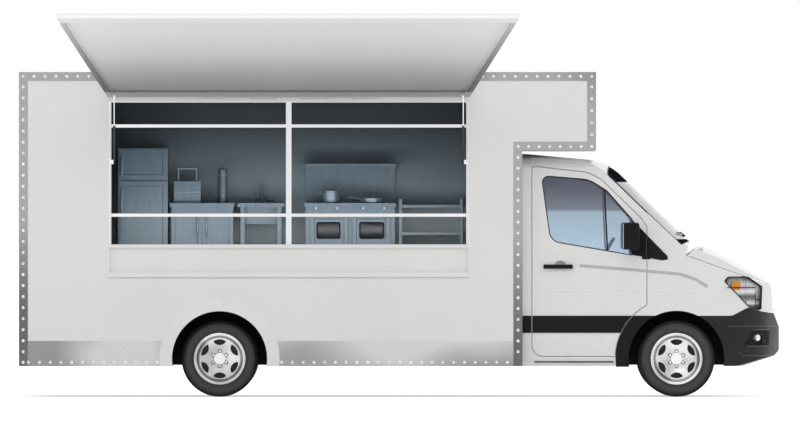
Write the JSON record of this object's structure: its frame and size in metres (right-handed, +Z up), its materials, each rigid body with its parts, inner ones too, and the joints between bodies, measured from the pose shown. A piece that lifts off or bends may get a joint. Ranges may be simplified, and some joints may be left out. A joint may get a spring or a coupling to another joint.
{
  "type": "food truck",
  "caption": "Box-bodied food truck with a serving hatch on gas struts, a glazed serving opening over a counter, a fitted kitchen and a front cab.",
  "frame": {"origin": "on the ground, on the centreline, half-way along the wheels' and body's length as pictured", "axes": "+X forward, +Y to the vehicle's left, -Y to the serving side, +Z up"},
  "size_m": [7.2192, 3.7735, 3.612],
  "materials": {
    "white_panel": "satin white sandwich panel",
    "white_paint": "gloss white paint",
    "aluminium_trim": "brushed",
    "floor_ply": "coated plywood",
    "black_plastic": "grained",
    "chassis_black": "satin black",
    "engine_iron": "cast",
    "stainless": "brushed",
    "bright_rod": "polished",
    "seat_fabric": "woven",
    "clear_glass": "tinted",
    "lamp_lens": "clear lens",
    "wheel_silver": "silver paint",
    "tyre_rubber": "matt"
  },
  "bodies": {
    "chassis": {"appliances": "stainless", "arch_liners": "black_plastic", "box_floor": "floor_ply", "box_front": "white_panel", "box_rear": "white_panel", "box_roof": "white_panel", "box_side_left": "white_panel", "box_side_right": "white_panel", "box_skirts": "aluminium_trim", "box_trim": "aluminium_trim", "cab_shell": "white_paint", "chassis_frame": "chassis_black", "cooker": "stainless", "dashboard": "black_plastic", "engine_block": "engine_iron", "exhaust": "chassis_black", "fridge": "stainless", "front_bumper": "black_plastic", "front_wings": "white_paint", "fuel_tank": "chassis_black", "grille": "black_plastic", "hatch_hinge": "aluminium_trim", "headlamps": "lamp_lens", "kitchen_tables": "stainless", "rear_arch_flares": "white_paint", "rear_drive": "chassis_black", "rear_lamps": "lamp_lens", "rear_steps": "chassis_black", "seats": "seat_fabric", "serving_counter": "white_paint", "serving_frame": "aluminium_trim", "serving_glass": "clear_glass", "side_mouldings": "black_plastic", "suspension": "chassis_black", "windscreen": "clear_glass"},
    "knuckle_left": {"knuckle_left": "chassis_black"},
    "knuckle_right": {"knuckle_right": "chassis_black"},
    "wheel_front_left": {"tyre_front_left": "tyre_rubber", "rim_front_left": "wheel_silver"},
    "wheel_front_right": {"tyre_front_right": "tyre_rubber", "rim_front_right": "wheel_silver"},
    "wheel_rear_left": {"tyre_rear_left": "tyre_rubber", "rim_rear_left": "wheel_silver"},
    "wheel_rear_right": {"tyre_rear_right": "tyre_rubber", "rim_rear_right": "wheel_silver"},
    "cab_door_left": {"cab_door_left": "white_paint", "door_glass_left": "clear_glass", "door_fittings_left": "black_plastic"},
    "cab_door_right": {"cab_door_right": "white_paint", "door_glass_right": "clear_glass", "door_fittings_right": "black_plastic"},
    "bonnet": {"bonnet": "white_paint"},
    "rear_door": {"rear_door": "white_panel"},
    "hatch": {"hatch": "white_panel"},
    "strut_cylinder_front": {"strut_cylinder_front": "chassis_black"},
    "strut_rod_front": {"strut_rod_front": "bright_rod"},
    "strut_cylinder_rear": {"strut_cylinder_rear": "chassis_black"},
    "strut_rod_rear": {"strut_rod_rear": "bright_rod"}
  },
  "joints": [
    {"name": "steer_left", "type": "hinge", "parent": "chassis", "child": "knuckle_left", "pos_m": [2.618, 0.8, 0.361], "axis": [0, 0, 1], "range_deg": [-35, 35]},
    {"name": "steer_right", "type": "hinge", "parent": "chassis", "child": "knuckle_right", "pos_m": [2.618, -0.8, 0.361], "axis": [0, 0, 1], "range_deg": [-35, 35]},
    {"name": "spin_front_left", "type": "hinge", "parent": "knuckle_left", "child": "wheel_front_left", "pos_m": [2.618, 0.865, 0.361], "axis": [0, 1, 0], "continuous": true},
    {"name": "spin_front_right", "type": "hinge", "parent": "knuckle_right", "child": "wheel_front_right", "pos_m": [2.618, -0.865, 0.361], "axis": [0, 1, 0], "continuous": true},
    {"name": "spin_rear_left", "type": "hinge", "parent": "chassis", "child": "wheel_rear_left", "pos_m": [-1.707, 0.865, 0.361], "axis": [0, 1, 0], "continuous": true},
    {"name": "spin_rear_right", "type": "hinge", "parent": "chassis", "child": "wheel_rear_right", "pos_m": [-1.707, -0.865, 0.361], "axis": [0, 1, 0], "continuous": true},
    {"name": "open_cab_door_left", "type": "hinge", "parent": "chassis", "child": "cab_door_left", "pos_m": [2.3375, 1.002, 1.3], "axis": [0, 0, -1], "range_deg": [0, 70]},
    {"name": "open_cab_door_right", "type": "hinge", "parent": "chassis", "child": "cab_door_right", "pos_m": [2.3375, -1.002, 1.3], "axis": [0, 0, 1], "range_deg": [0, 70]},
    {"name": "lift_bonnet", "type": "hinge", "parent": "chassis", "child": "bonnet", "pos_m": [2.716, 0, 1.34], "axis": [0, -1, 0], "range_deg": [0, 42]},
    {"name": "open_rear_door", "type": "hinge", "parent": "chassis", "child": "rear_door", "pos_m": [-3.607, 0.376, 1.8], "axis": [0, 0, -1], "range_deg": [0, 110]},
    {"name": "close_hatch", "type": "hinge", "parent": "chassis", "child": "hatch", "pos_m": [-1.053, -1.112, 2.812], "axis": [1, 0, 0], "range_deg": [0, 118]},
    {"name": "strut_swing_front", "type": "hinge", "parent": "chassis", "child": "strut_cylinder_front", "pos_m": [0.598, -1.08, 2.223], "axis": [1, 0, 0], "range_deg": [-11.66, 0.2]},
    {"name": "strut_slide_front", "type": "slide", "parent": "strut_cylinder_front", "child": "strut_rod_front", "axis": [0, -0.219, 0.9757], "range_m": [-0.1585, 0.0005]},
    {"name": "strut_swing_rear", "type": "hinge", "parent": "chassis", "child": "strut_cylinder_rear", "pos_m": [-2.703, -1.08, 2.223], "axis": [1, 0, 0], "range_deg": [-11.66, 0.2]},
    {"name": "strut_slide_rear", "type": "slide", "parent": "strut_cylinder_rear", "child": "strut_rod_rear", "axis": [0, -0.219, 0.9757], "range_m": [-0.1585, 0.0005]}
  ],
  "couplings": [
    {"joint": "steer_right", "follows": "steer_left", "ratio": 1},
    {"joint": "strut_swing_front", "follows": "close_hatch", "ratio": -0.097086},
    {"joint": "strut_slide_front", "follows": "close_hatch", "m_per_rad": -0.076511},
    {"joint": "strut_swing_rear", "follows": "close_hatch", "ratio": -0.097086},
    {"joint": "strut_slide_rear", "follows": "close_hatch", "m_per_rad": -0.076511}
  ]
}
